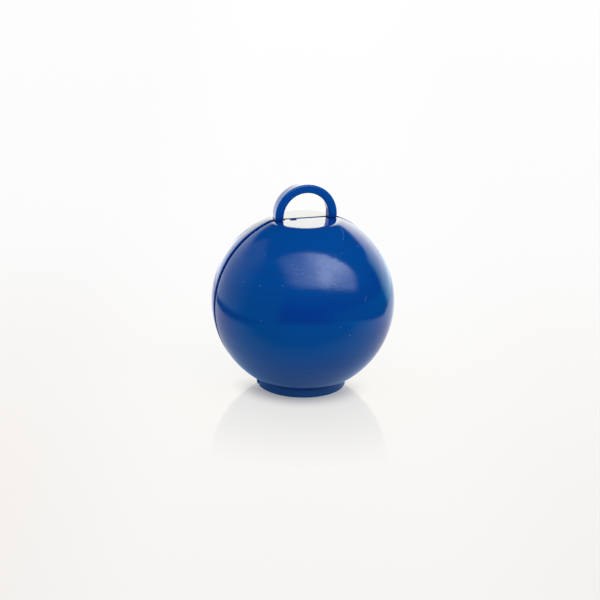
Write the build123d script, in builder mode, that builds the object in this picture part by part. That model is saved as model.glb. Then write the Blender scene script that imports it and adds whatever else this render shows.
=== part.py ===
"""Balloon weight: a plastic ball of two press-fitted shells round a cast ballast core.

The ball is parted by an upright seam plane, y = 0, with the front shell towards -Y. The origin is the
middle of the foot's underside, and +Z is up. Lengths are in millimetres.
"""
import os
from math import sqrt

from build123d import *

# Ball, flat top and foot
BALL_RADIUS = 23.0
BALL_CENTRE_Z = 22.05
FLAT_RADIUS = 8.4
FOOT_RADIUS = 11.3
WALL = 2.0
FLAT_EDGE_ROUND = 0.35
FOOT_EDGE_ROUND = 0.35
FOOT_NECK_ROUND = 0.4

# Seam: an open groove, with the rear shell's tongue reaching through it into the front shell
GROOVE_FRONT_Y = -0.5
GROOVE_REAR_Y = 0.9
GROOVE_DEPTH = 1.0
GROOVE_EDGE_ROUND = 0.2
TONGUE_REACH = 2.5
TONGUE_CLEARANCE = 0.08
TONGUE_END_GAP = 0.4
TONGUE_LEAD_IN = 0.3

# Ribbon loop, which stands on the rear shell, overhangs the front one and tapers towards the back
LOOP_OUTER_RADIUS = 8.05
LOOP_INNER_RADIUS = 5.8
LOOP_LEG = 0.9
LOOP_FRONT_REACH = 1.25
LOOP_REAR_REACH = 2.35
LOOP_DRAFT = 4.0
LOOP_EDGE_ROUND = 0.5
LOOP_OVERHANG_GAP = 0.25
LOOP_ROOT_GAP = 0.15

# Lip of the front shell's flat, which narrows the groove between the loop's legs
LIP_HALF_WIDTH = 5.3
LIP_END_Y = 0.2
LIP_ROUND = 0.15

# Gate mark, a wedge on the lip that slopes down towards the front
GATE_X = -3.15
GATE_LENGTH = 1.5
GATE_FRONT_Y = -0.85
GATE_FRONT_RISE = 0.08
GATE_RISE = 0.3
GATE_END_GAP = 0.1

# Ballast core and the crossed ribs that cradle it
CORE_RADIUS = 18.5
CORE_POUR_RADIUS = 6.5
CORE_POUR_ROUND = 0.8
CRADLE_CLEARANCE = 0.3
RIB_THICKNESS = 1.4
RIB_ANGLES = (45, 135)
RIB_RIM_GAP = 3.5

# Levels and planes that follow from the sizes
FLAT_Z = BALL_CENTRE_Z + sqrt(BALL_RADIUS**2 - FLAT_RADIUS**2)
FOOT_TOP_Z = BALL_CENTRE_Z - sqrt(BALL_RADIUS**2 - FOOT_RADIUS**2)
CAVITY_RADIUS = BALL_RADIUS - WALL
CAVITY_CEILING_Z = FLAT_Z - WALL
TONGUE_TOP_Z = FLAT_Z - GROOVE_DEPTH
LOOP_CENTRE_Z = FLAT_Z + LOOP_LEG
LOOP_UNDERSIDE_Z = FLAT_Z + LOOP_OVERHANG_GAP
LIP_UNDERSIDE_Z = TONGUE_TOP_Z + TONGUE_CLEARANCE
LIP_ROOT_Y = GROOVE_FRONT_Y - 2 * GROOVE_EDGE_ROUND
GATE_END_Y = LIP_END_Y - GATE_END_GAP
BALL_CENTRE = (0, 0, BALL_CENTRE_Z)
FRONT_RIM = Plane.XZ.offset(-GROOVE_FRONT_Y)
REAR_RIM = Plane.XZ.offset(-GROOVE_REAR_Y)


def corner_at(sketch: BuildSketch, point: tuple) -> Vertex:
    """The corner of a profile that lies nearest to a point."""
    return sketch.vertices().sort_by_distance(Vertex(*point))[0]


def ball_body() -> Part:
    """The whole outer form before it is parted: ball, flat top and foot."""
    flat_edge = (FLAT_RADIUS, FLAT_Z)
    foot_edge = (FOOT_RADIUS, 0)
    foot_neck = (FOOT_RADIUS, FOOT_TOP_Z)
    with BuildPart() as ball:
        with BuildSketch(Plane.XZ) as profile:
            with BuildLine():
                Polyline(flat_edge, (0, FLAT_Z), (0, 0), foot_edge, foot_neck)
                ThreePointArc(foot_neck, (BALL_RADIUS, BALL_CENTRE_Z), flat_edge)
            make_face()
            fillet(corner_at(profile, flat_edge), FLAT_EDGE_ROUND)
            fillet(corner_at(profile, foot_neck), FOOT_NECK_ROUND)
            fillet(corner_at(profile, foot_edge), FOOT_EDGE_ROUND)
        revolve(axis=Axis.Z)
    return ball.part


def shell_hollow() -> Part:
    """The space inside both shells: the cavity less the cradle ribs, with room for the core."""
    with BuildPart() as hollow:
        with Locations(BALL_CENTRE):
            Sphere(CAVITY_RADIUS)
        with Locations((0, 0, WALL)):
            Cylinder(
                BALL_RADIUS,
                CAVITY_CEILING_Z - WALL,
                align=(Align.CENTER, Align.CENTER, Align.MIN),
                mode=Mode.INTERSECT,
            )
        for side in (1, -1):
            with BuildSketch(Plane.XZ.offset(side * RIB_RIM_GAP)):
                with Locations((0, BALL_CENTRE_Z)):
                    for angle in RIB_ANGLES:
                        Rectangle(2 * BALL_RADIUS, RIB_THICKNESS, rotation=angle)
            extrude(amount=side * BALL_RADIUS, mode=Mode.SUBTRACT)
        with Locations(BALL_CENTRE):
            Sphere(CORE_RADIUS + CRADLE_CLEARANCE)
    return hollow.part


def draw_seam_outline(inset: float) -> None:
    """Draws the ball's outline in the seam plane, drawn in all round, in the current sketch."""
    with Locations((0, BALL_CENTRE_Z)):
        Circle(BALL_RADIUS - inset)
    with Locations((0, inset)):
        Rectangle(2 * (FOOT_RADIUS - inset), BALL_CENTRE_Z, align=(Align.CENTER, Align.MIN))
        Rectangle(
            2 * BALL_RADIUS,
            FLAT_Z - 2 * inset,
            align=(Align.CENTER, Align.MIN),
            mode=Mode.INTERSECT,
        )


def ribbon_loop() -> Part:
    """The arched loop: roots down to the tongue, and the front half clear of the front shell."""
    with BuildPart() as loop:
        with BuildSketch(Plane.XZ.offset(LOOP_FRONT_REACH)):
            for radius, mode in ((LOOP_OUTER_RADIUS, Mode.ADD), (LOOP_INNER_RADIUS, Mode.SUBTRACT)):
                with Locations((0, LOOP_CENTRE_Z)):
                    Circle(radius, mode=mode)
                with Locations((0, TONGUE_TOP_Z)):
                    Rectangle(
                        2 * radius,
                        LOOP_CENTRE_Z - TONGUE_TOP_Z,
                        align=(Align.CENTER, Align.MIN),
                        mode=mode,
                    )
            with Locations((0, TONGUE_TOP_Z)):
                Rectangle(
                    2 * BALL_RADIUS,
                    BALL_RADIUS,
                    align=(Align.CENTER, Align.MIN),
                    mode=Mode.INTERSECT,
                )
        extrude(amount=-LOOP_FRONT_REACH - LOOP_REAR_REACH, taper=LOOP_DRAFT)
        end_edges = loop.faces().filter_by(Axis.Y).edges()
        above_roots = end_edges.filter_by_position(Axis.Z, FLAT_Z, LOOP_CENTRE_Z + LOOP_OUTER_RADIUS)
        fillet(above_roots, LOOP_EDGE_ROUND)
        with Locations((0, GROOVE_FRONT_Y + LOOP_ROOT_GAP, LOOP_UNDERSIDE_Z)):
            Box(
                2 * BALL_RADIUS,
                LOOP_FRONT_REACH,
                LOOP_UNDERSIDE_Z,
                align=(Align.CENTER, Align.MAX, Align.MAX),
                mode=Mode.SUBTRACT,
            )
    return loop.part


ball = ball_body()
hollow = shell_hollow()
loop = ribbon_loop()

# Front shell: half the ball, rebated behind its rim for the tongue, with the lip and the gate mark
with BuildPart() as front_shell:
    add(ball)
    split(bisect_by=FRONT_RIM, keep=Keep.TOP)
    fillet(front_shell.faces().sort_by(Axis.Y)[-1].edges(), GROOVE_EDGE_ROUND)
    with Locations((0, LIP_ROOT_Y, FLAT_Z)):
        Box(
            2 * LIP_HALF_WIDTH,
            LIP_END_Y - LIP_ROOT_Y,
            FLAT_Z - LIP_UNDERSIDE_Z,
            align=(Align.CENTER, Align.MIN, Align.MAX),
        )
    fillet(front_shell.faces().sort_by(Axis.Y)[-1].edges(), LIP_ROUND)
    with BuildSketch(FRONT_RIM):
        draw_seam_outline(GROOVE_DEPTH - TONGUE_CLEARANCE)
    extrude(amount=TONGUE_REACH + GROOVE_FRONT_Y + TONGUE_END_GAP, mode=Mode.SUBTRACT)
    add(hollow, mode=Mode.SUBTRACT)
    with BuildSketch(Plane.YZ.offset(GATE_X - GATE_LENGTH / 2)):
        with BuildLine():
            Polyline(
                (GATE_FRONT_Y, FLAT_Z - GROOVE_EDGE_ROUND),
                (GATE_FRONT_Y, FLAT_Z + GATE_FRONT_RISE),
                (GATE_END_Y, FLAT_Z + GATE_RISE),
                (GATE_END_Y, FLAT_Z - GROOVE_EDGE_ROUND),
                close=True,
            )
        make_face()
    extrude(amount=GATE_LENGTH)

# Rear shell: the other half, with the tongue and the ribbon loop
with BuildPart() as rear_shell:
    add(ball)
    split(bisect_by=REAR_RIM, keep=Keep.BOTTOM)
    fillet(rear_shell.faces().sort_by(Axis.Y)[0].edges(), GROOVE_EDGE_ROUND)
    with BuildSketch(REAR_RIM):
        draw_seam_outline(GROOVE_DEPTH)
    extrude(amount=TONGUE_REACH + GROOVE_REAR_Y)
    chamfer(rear_shell.faces().sort_by(Axis.Y)[0].edges(), TONGUE_LEAD_IN)
    add(hollow, mode=Mode.SUBTRACT)
    add(loop)

# Ballast core: a cast ball with the flat face that it was poured through
with BuildPart() as ballast_core:
    with Locations(BALL_CENTRE):
        Sphere(CORE_RADIUS)
    pour_z = BALL_CENTRE_Z + sqrt(CORE_RADIUS**2 - CORE_POUR_RADIUS**2)
    split(bisect_by=Plane.XY.offset(pour_z), keep=Keep.BOTTOM)
    fillet(ballast_core.faces().sort_by(Axis.Z)[-1].edges(), CORE_POUR_ROUND)

os.makedirs("parts", exist_ok=True)
front_shell.part.label = "front_shell"
export_step(front_shell.part, "parts/front_shell.step")
rear_shell.part.label = "rear_shell"
export_step(rear_shell.part, "parts/rear_shell.step")
ballast_core.part.label = "ballast_core"
export_step(ballast_core.part, "parts/ballast_core.step")
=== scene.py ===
"""Looks of a balloon weight: two glossy plastic shells, the cast ballast core in them, and a small studio.

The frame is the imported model's: metres, +Z up, the seam in the plane y = 0 and the front shell towards -Y.
"""

import logging
import math
from dataclasses import dataclass
from enum import Enum
from typing import Callable, Sequence, Union

import bmesh
import bpy
from mathutils import Euler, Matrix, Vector


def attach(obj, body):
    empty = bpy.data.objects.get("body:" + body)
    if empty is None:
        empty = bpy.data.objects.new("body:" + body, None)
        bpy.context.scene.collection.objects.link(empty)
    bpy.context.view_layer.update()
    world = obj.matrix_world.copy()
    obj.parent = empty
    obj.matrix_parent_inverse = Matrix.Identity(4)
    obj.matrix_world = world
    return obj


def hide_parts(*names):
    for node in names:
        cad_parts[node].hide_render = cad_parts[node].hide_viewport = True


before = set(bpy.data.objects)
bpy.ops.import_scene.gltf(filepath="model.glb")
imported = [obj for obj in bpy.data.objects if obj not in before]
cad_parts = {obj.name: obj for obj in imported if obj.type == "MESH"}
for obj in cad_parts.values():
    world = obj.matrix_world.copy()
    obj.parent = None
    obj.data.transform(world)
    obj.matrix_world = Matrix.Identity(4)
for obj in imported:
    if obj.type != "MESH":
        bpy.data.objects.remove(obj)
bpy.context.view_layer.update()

MM = 0.001
IMAGE_SIDE = 600
# Gaps in metres within which places count as one, when a form is cut, merged or picked.
CUT_GAP = 1e-8
MERGE_GAP = 1e-7
NEAR = 1e-6
RING_NEAR = 1e-5
# The bevel's profile that makes a true round, and the index of refraction of both finishes.
ROUND_PROFILE = 0.5
REFLECTION_INDEX = 1.5

log = logging.getLogger("balloon_weight")

Number = Union[int, float]
Span = tuple[float, float]
Place = tuple[float, float, float]
Colour = tuple[float, float, float, float]

WHITE: Colour = (1.0, 1.0, 1.0, 1.0)


class Half(Enum):
    """The two halves of the ball, by the side of the seam plane that each lies on."""

    FRONT = -1
    REAR = 1


class Join(Enum):
    """The ways in which one form is worked into another."""

    WELD = "UNION"
    CUT = "DIFFERENCE"


class Signal:
    """A shader socket that takes part in Python expressions, each of which adds its Math node."""

    def __init__(self, graph: "NodeGraph", socket: bpy.types.NodeSocket) -> None:
        """Keeps the socket and the graph that it belongs to."""
        self.graph = graph
        self.socket = socket

    def _math(self, operation: str, first: "Feed", second: "Feed" = 0.0) -> "Signal":
        """Adds one Math node.

        Args:
            operation: The node's operation.
            first: Its first value or link.
            second: Its second value or link.

        Returns:
            The node's result.
        """
        made = self.graph.node("ShaderNodeMath", {"operation": operation}, {0: first, 1: second})
        return Signal(self.graph, made.outputs[0])

    def __add__(self, other: "Feed") -> "Signal":
        """self + other."""
        return self._math("ADD", self, other)

    def __radd__(self, other: "Feed") -> "Signal":
        """other + self."""
        return self._math("ADD", other, self)

    def __sub__(self, other: "Feed") -> "Signal":
        """self - other."""
        return self._math("SUBTRACT", self, other)

    def __rsub__(self, other: "Feed") -> "Signal":
        """other - self."""
        return self._math("SUBTRACT", other, self)

    def __mul__(self, other: "Feed") -> "Signal":
        """self * other."""
        return self._math("MULTIPLY", self, other)

    def __rmul__(self, other: "Feed") -> "Signal":
        """other * self."""
        return self._math("MULTIPLY", other, self)

    def __truediv__(self, other: "Feed") -> "Signal":
        """self / other."""
        return self._math("DIVIDE", self, other)

    def __rtruediv__(self, other: "Feed") -> "Signal":
        """other / self."""
        return self._math("DIVIDE", other, self)

    def __pow__(self, other: "Feed") -> "Signal":
        """self to the power of other."""
        return self._math("POWER", self, other)

    def __lt__(self, other: "Feed") -> "Signal":
        """1 where self is less than other, else 0."""
        return self._math("LESS_THAN", self, other)

    def __gt__(self, other: "Feed") -> "Signal":
        """1 where self is greater than other, else 0."""
        return self._math("GREATER_THAN", self, other)

    def largest(self, other: "Feed") -> "Signal":
        """The greater of the two."""
        return self._math("MAXIMUM", self, other)

    def smallest(self, other: "Feed") -> "Signal":
        """The lesser of the two."""
        return self._math("MINIMUM", self, other)

    def sine_to_degrees(self) -> "Signal":
        """The angle, in degrees, whose sine this is."""
        return self._math("ARCSINE", self) * math.degrees(1)

    def angle_from(self, other: "Feed") -> "Signal":
        """The angle, in degrees, of a direction with this sideways and other forwards."""
        return self._math("ARCTAN2", self, other) * math.degrees(1)

    def rise(self, start: Number, end: Number) -> "Signal":
        """A smooth step.

        Args:
            start: The value at which it leaves 0.
            end: The value at which it reaches 1, lower than start for a step down.

        Returns:
            The step, from 0 to 1.
        """
        low, high = min(start, end), max(start, end)
        made = self.graph.node(
            "ShaderNodeMapRange",
            {"interpolation_type": "SMOOTHSTEP"},
            {"Value": self, "From Min": low, "From Max": high},
        )
        step = Signal(self.graph, made.outputs[0])
        return step if start <= end else 1 - step

    def between(self, enter: Span, leave: Span) -> "Signal":
        """1 between two smooth steps, each given by its start and its end, and 0 beyond them."""
        return self.rise(*enter) * self.rise(*leave)


Feed = Union[Number, Sequence[float], Signal, bpy.types.NodeSocket]


@dataclass(frozen=True)
class Grain:
    """A noise, by its cells per millimetre, its detail, its stretch and the band that becomes 0 to 1."""

    cells_per_mm: float
    detail: float
    stretch: Place = (1, 1, 1)
    band: Span | None = None


class NodeGraph:
    """A node tree that is filled from code."""

    def __init__(self, tree: bpy.types.NodeTree) -> None:
        """Empties the tree and keeps it."""
        self.tree = tree
        tree.nodes.clear()

    def node(self, kind: str, settings: dict | None = None, sockets: dict | None = None) -> bpy.types.Node:
        """Adds one node.

        Args:
            kind: The node's type name.
            settings: Its properties, set first. "stops" gives a colour ramp's (position, colour) pairs.
            sockets: Values or links of its inputs, by name or number.

        Returns:
            The node.
        """
        made = self.tree.nodes.new(kind)
        for name, value in (settings or {}).items():
            if name == "stops":
                self._set_stops(made.color_ramp.elements, value)
            else:
                setattr(made, name, value)
        for name, value in (sockets or {}).items():
            self._feed(made.inputs[name], value)
        return made

    def _feed(self, target: bpy.types.NodeSocket, value: Feed) -> None:
        """Links or sets one input."""
        if isinstance(value, Signal):
            self.tree.links.new(value.socket, target)
        elif isinstance(value, bpy.types.NodeSocket):
            self.tree.links.new(value, target)
        else:
            target.default_value = value

    @staticmethod
    def _set_stops(elements: bpy.types.ColorRampElements, stops: Sequence[tuple[float, Colour]]) -> None:
        """Gives a colour ramp its stops."""
        while len(elements) < len(stops):
            elements.new(1.0)
        for element, (position, colour) in zip(elements, stops):
            element.position = position
            element.color = colour

    def signal(self, kind: str, settings: dict | None, sockets: dict | None, output: str | int = 0) -> Signal:
        """Adds one node and gives one of its outputs as a signal."""
        return Signal(self, self.node(kind, settings, sockets).outputs[output])

    def split(self, vector: Feed) -> tuple[Signal, Signal, Signal]:
        """The three parts of a vector."""
        made = self.node("ShaderNodeSeparateXYZ", None, {"Vector": vector})
        return tuple(Signal(self, made.outputs[axis]) for axis in "XYZ")

    def vector(self, operation: str, sockets: dict) -> bpy.types.Node:
        """Adds one Vector Math node."""
        return self.node("ShaderNodeVectorMath", {"operation": operation}, sockets)

    def distance(self, first: Feed, second: Feed) -> Signal:
        """How far two places lie from each other."""
        return Signal(self, self.vector("DISTANCE", {0: first, 1: second}).outputs["Value"])

    def noise(self, place: Feed, grain: Grain) -> Signal:
        """A noise over a surface.

        Args:
            place: The place on the surface.
            grain: The noise's measures.

        Returns:
            The noise, from 0 to 1.
        """
        sockets = {"Vector": place, "Scale": grain.stretch}
        mapped = self.node("ShaderNodeMapping", {"vector_type": "POINT"}, sockets)
        sockets = {"Vector": mapped.outputs[0], "Scale": grain.cells_per_mm / MM, "Detail": grain.detail}
        made = self.signal("ShaderNodeTexNoise", None, sockets)
        return made.rise(*grain.band) if grain.band else made

    def cells(self, place: Feed, cells_per_mm: float) -> tuple[Signal, Signal, Signal]:
        """Cells scattered over a surface.

        Args:
            place: The place on the surface.
            cells_per_mm: How many there are along a millimetre.

        Returns:
            The distance from the cell's middle, in cells, and two draws from 0 to 1 that each cell has.
        """
        sockets = {"Vector": place, "Scale": cells_per_mm / MM, "Randomness": 1.0}
        made = self.node("ShaderNodeTexVoronoi", {"feature": "F1"}, sockets)
        first_draw, second_draw, _ = self.split(made.outputs["Color"])
        return Signal(self, made.outputs["Distance"]), first_draw, second_draw

    def curve(self, value: Signal, points: Sequence[Span]) -> Signal:
        """A value read off a line through points.

        Args:
            value: What is looked up.
            points: (value, result) pairs in order.

        Returns:
            The result, held at the ends.
        """
        first, last = points[0][0], points[-1][0]
        share = (value - first) / (last - first)
        stops = [((at - first) / (last - first), (level, level, level, 1.0)) for at, level in points]
        return self.signal("ShaderNodeValToRGB", {"stops": stops}, {"Fac": share})

    def mix(self, share: Feed, first: Feed, second: Feed) -> bpy.types.NodeSocket:
        """A mix of two colours."""
        return self.node("ShaderNodeMix", {"data_type": "RGBA"}, {0: share, 6: first, 7: second}).outputs[2]

    def blend(
        self, share: Feed, first: bpy.types.NodeSocket, second: bpy.types.NodeSocket
    ) -> bpy.types.NodeSocket:
        """A mix of two shaders."""
        return self.node("ShaderNodeMixShader", None, {0: share, 1: first, 2: second}).outputs[0]

    def glow(self, colour: Feed, strength: Feed) -> bpy.types.NodeSocket:
        """A light of a colour and a strength, for the world and the table."""
        return self.node("ShaderNodeBackground", None, {"Color": colour, "Strength": strength}).outputs[0]

    def add_up(self, first: bpy.types.NodeSocket, *others: bpy.types.NodeSocket) -> bpy.types.NodeSocket:
        """The sum of several shaders."""
        for other in others:
            first = self.node("ShaderNodeAddShader", None, {0: first, 1: other}).outputs[0]
        return first

    def surface(self, colour: Feed, roughness: Feed, relief: Feed, depth: float, strength: float) -> None:
        """Ends a material with its shader.

        Args:
            colour: The colour.
            roughness: The roughness.
            relief: The height of the surface's relief.
            depth: How deep a relief of 1 is.
            strength: How much of it shows.
        """
        bump = self.node("ShaderNodeBump", None, {"Strength": strength, "Distance": depth, "Height": relief})
        sockets = {"Base Color": colour, "Roughness": roughness, "IOR": REFLECTION_INDEX}
        shader = self.node("ShaderNodeBsdfPrincipled", None, {**sockets, "Normal": bump.outputs[0]})
        self.node("ShaderNodeOutputMaterial", None, {"Surface": shader.outputs[0]})


def start_material(name: str) -> tuple[bpy.types.Material, NodeGraph, bpy.types.NodeSocket]:
    """Starts a procedural material.

    Args:
        name: The material's name.

    Returns:
        The material, its nodes and the place on the surface.
    """
    made = bpy.data.materials.new(name)
    made.use_nodes = True
    graph = NodeGraph(made.node_tree)
    return made, graph, graph.node("ShaderNodeTexCoord").outputs["Object"]


class Bench:
    """The modelling steps that the pieces share, each on the active mesh."""

    @staticmethod
    def clear() -> None:
        """Leaves edit mode and deselects everything."""
        if bpy.context.mode != "OBJECT":
            bpy.ops.object.mode_set(mode="OBJECT")
        bpy.ops.object.select_all(action="DESELECT")

    @staticmethod
    def activate(obj: bpy.types.Object) -> None:
        """Makes a form the active one, and the only one that is selected."""
        Bench.clear()
        obj.select_set(True)
        bpy.context.view_layer.objects.active = obj

    @staticmethod
    def begin(name: str) -> bpy.types.Object:
        """Names the primitive that was just added, applies its place, and opens it for editing."""
        obj = bpy.context.object
        obj.name = name
        bpy.ops.object.transform_apply(location=True, rotation=True, scale=True)
        bpy.ops.object.mode_set(mode="EDIT")
        bpy.ops.mesh.select_mode(type="VERT")
        return obj

    @staticmethod
    def pick(test: Callable[[Vector], bool]) -> int:
        """Selects the vertices that pass a test, and the edges and faces between them.

        Args:
            test: The test of a vertex's place.

        Returns:
            How many vertices were selected.
        """
        mesh = bpy.context.object.data
        form = bmesh.from_edit_mesh(mesh)
        for item in (*form.faces, *form.edges, *form.verts):
            item.select = False
        chosen = [vertex for vertex in form.verts if test(vertex.co)]
        for vertex in chosen:
            vertex.select = True
        form.select_flush(True)
        bmesh.update_edit_mesh(mesh)
        return len(chosen)

    @staticmethod
    def replace(move: Callable[[Vector], Vector]) -> None:
        """Gives each selected vertex a new place, worked out from its old one."""
        mesh = bpy.context.object.data
        form = bmesh.from_edit_mesh(mesh)
        for vertex in form.verts:
            if vertex.select:
                vertex.co = move(vertex.co)
        bmesh.update_edit_mesh(mesh)

    @staticmethod
    def trim(place: Place, normal: Place, fill: bool = False) -> None:
        """Cuts the whole form at a plane and keeps what lies behind it.

        Args:
            place: A point of the plane.
            normal: The plane's normal, towards what is cut off.
            fill: Whether the cut is closed.
        """
        bpy.ops.mesh.select_all(action="SELECT")
        bpy.ops.mesh.bisect(
            plane_co=place, plane_no=normal, use_fill=fill, clear_outer=True, threshold=CUT_GAP
        )

    @staticmethod
    def draw_out(shift: Place) -> None:
        """Extrudes what is selected by a shift."""
        bpy.ops.mesh.extrude_region_move(TRANSFORM_OT_translate={"value": shift})

    @staticmethod
    def round_over(radius: float, steps: int) -> None:
        """Rounds the edge of the selected end face by insets, each a step further out.

        Args:
            radius: The round's radius.
            steps: How many insets make the quarter round.
        """
        angles = [math.pi / 2 * step / steps for step in range(steps + 1)]
        bpy.ops.mesh.select_mode(type="FACE")
        for before, after in zip(angles, angles[1:]):
            bpy.ops.mesh.inset(
                thickness=radius * (math.cos(before) - math.cos(after)),
                depth=radius * (math.sin(after) - math.sin(before)),
                use_even_offset=True,
            )
        bpy.ops.mesh.select_mode(type="VERT")

    @staticmethod
    def block(name: str, low: Place, high: Place) -> bpy.types.Object:
        """A block between two corners, open for editing.

        Args:
            name: The form's name.
            low: Its lowest corner.
            high: Its highest corner.

        Returns:
            The form.
        """
        Bench.clear()
        bpy.ops.mesh.primitive_cube_add(
            size=1.0,
            location=[(start + end) / 2 for start, end in zip(low, high)],
            scale=[end - start for start, end in zip(low, high)],
        )
        return Bench.begin(name)

    @staticmethod
    def ring(name: str, points: int, radius: float, centre: Place) -> bpy.types.Object:
        """An upright circle across the y axis, open for editing.

        Args:
            name: The form's name.
            points: How many points it has.
            radius: Its radius.
            centre: Its centre.

        Returns:
            The form.
        """
        Bench.clear()
        upright = (math.pi / 2, 0, 0)
        bpy.ops.mesh.primitive_circle_add(vertices=points, radius=radius, location=centre, rotation=upright)
        return Bench.begin(name)

    @staticmethod
    def close_up() -> None:
        """Merges doubles and turns the faces outwards."""
        bpy.ops.mesh.select_all(action="SELECT")
        bpy.ops.mesh.remove_doubles(threshold=MERGE_GAP)
        bpy.ops.mesh.normals_make_consistent(inside=False)
        bpy.ops.object.mode_set(mode="OBJECT")

    @staticmethod
    def copy(obj: bpy.types.Object, name: str) -> bpy.types.Object:
        """A copy of a form with a mesh of its own."""
        Bench.activate(obj)
        bpy.ops.object.duplicate(linked=False)
        made = bpy.context.object
        made.name = name
        return made

    @staticmethod
    def work_in(obj: bpy.types.Object, tool: bpy.types.Object, join: Join) -> None:
        """Welds a form onto a piece or cuts it out, and deletes the form.

        Args:
            obj: The piece.
            tool: The form.
            join: What is done with it.
        """
        Bench.activate(obj)
        modifier = obj.modifiers.new(join.name.lower(), "BOOLEAN")
        modifier.operation = join.value
        modifier.solver = "EXACT"
        modifier.object = tool
        bpy.ops.object.modifier_apply(modifier=modifier.name)
        Bench.discard(tool)

    @staticmethod
    def discard(tool: bpy.types.Object) -> None:
        """Deletes a form that was only a help."""
        mesh = tool.data
        bpy.data.objects.remove(tool)
        bpy.data.meshes.remove(mesh)

    @staticmethod
    def finish_surface(obj: bpy.types.Object, sharp_degrees: float) -> None:
        """Shades a finished mesh smooth, with its flats kept flat.

        Args:
            obj: The piece.
            sharp_degrees: The angle from which an edge stays sharp.
        """
        Bench.activate(obj)
        bpy.ops.object.mode_set(mode="EDIT")
        bpy.ops.mesh.select_all(action="SELECT")
        bpy.ops.mesh.remove_doubles(threshold=MERGE_GAP)
        bpy.ops.mesh.dissolve_degenerate(threshold=MERGE_GAP)
        bpy.ops.object.mode_set(mode="OBJECT")
        bpy.ops.object.shade_smooth_by_angle(angle=math.radians(sharp_degrees))
        modifier = obj.modifiers.new("flats", "WEIGHTED_NORMAL")
        modifier.keep_sharp = True
        bpy.ops.object.modifier_apply(modifier=modifier.name)
        Bench.clear()


@dataclass(frozen=True)
class Speck:
    """A fleck of dust on the ball, by its direction from the ball's centre."""

    azimuth: float
    elevation: float
    radius: float


@dataclass(frozen=True)
class Scuff:
    """A scuffed patch on the ball, by its direction from the ball's centre: real scuffing, placed on the
    box's highlight, whose pale colour is partly a painted highlight.
    """

    azimuth: float
    elevation: float
    radius: float
    strength: float


@dataclass(frozen=True)
class Scratch:
    """A short pale scratch on the ball, by the directions of its two ends from the ball's centre."""

    start: Span
    end: Span
    width: float
    strength: float = 1.0


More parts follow.
